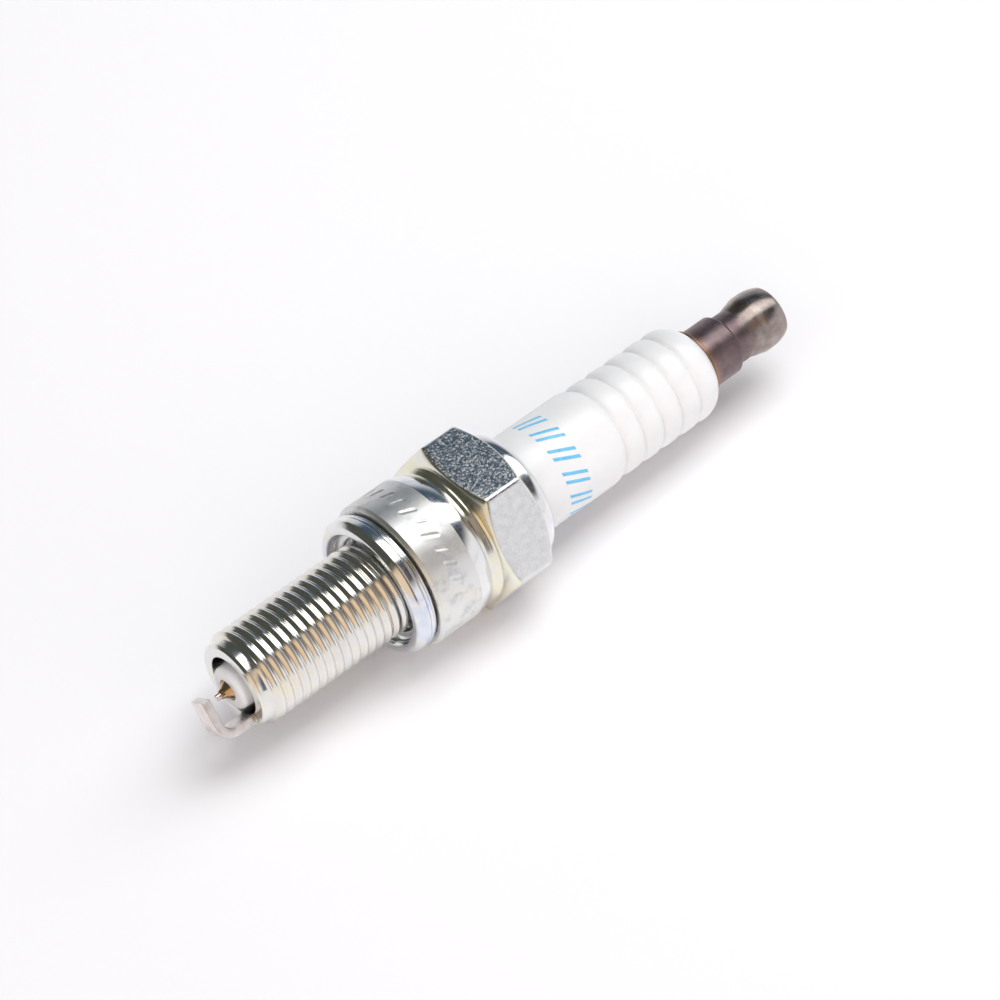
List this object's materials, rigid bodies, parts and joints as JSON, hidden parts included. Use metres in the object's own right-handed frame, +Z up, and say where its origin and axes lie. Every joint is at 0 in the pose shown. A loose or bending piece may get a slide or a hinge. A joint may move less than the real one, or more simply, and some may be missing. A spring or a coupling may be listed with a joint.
{
  "type": "spark plug",
  "caption": "Small threaded ignition plug: hex shell with a loose seat gasket, ribbed white insulator, solid terminal and a bent ground strap.",
  "frame": {"origin": "centre of the sealing seat on the shell, which is the face that the reach is measured from", "axes": "+X along the plug's axis towards the terminal, +Z up through a flat of the hex, with the plug lying on the opposite flat"},
  "size_m": [0.0735, 0.0184, 0.016],
  "materials": {
    "plated_steel": "zinc plated and yellow passivated steel, iridescent on the thread",
    "glazed_alumina": "white alumina, clear glaze",
    "terminal_steel": "dark brown plated steel, satin",
    "seal_glass": "fused conductive glass",
    "resistor_body": "fused carbon and glass",
    "electrode_nickel": "nickel alloy, bronze tint",
    "copper": "copper, bright",
    "tip_alloy": "fine wire, bright",
    "strap_nickel": "nickel alloy, satin",
    "packing_steel": "steel, plain",
    "talc": "pressed talc",
    "gasket_steel": "zinc plated sheet steel"
  },
  "bodies": {
    "plug": {"shell": "plated_steel", "insulator": "glazed_alumina", "terminal_stud": "terminal_steel", "upper_glass_seal": "seal_glass", "resistor": "resistor_body", "lower_glass_seal": "seal_glass", "centre_electrode": "electrode_nickel", "electrode_core": "copper", "centre_tip": "tip_alloy", "ground_electrode": "strap_nickel", "seat_packing": "packing_steel", "lower_packing_ring": "packing_steel", "talc_ring": "talc", "upper_packing_ring": "packing_steel"},
    "gasket": {"gasket": "gasket_steel"}
  },
  "joints": [
    {"name": "gasket_slide", "type": "slide", "parent": "plug", "child": "gasket", "axis": [1, 0, 0], "range_m": [-0.001, 0.00018]}
  ]
}
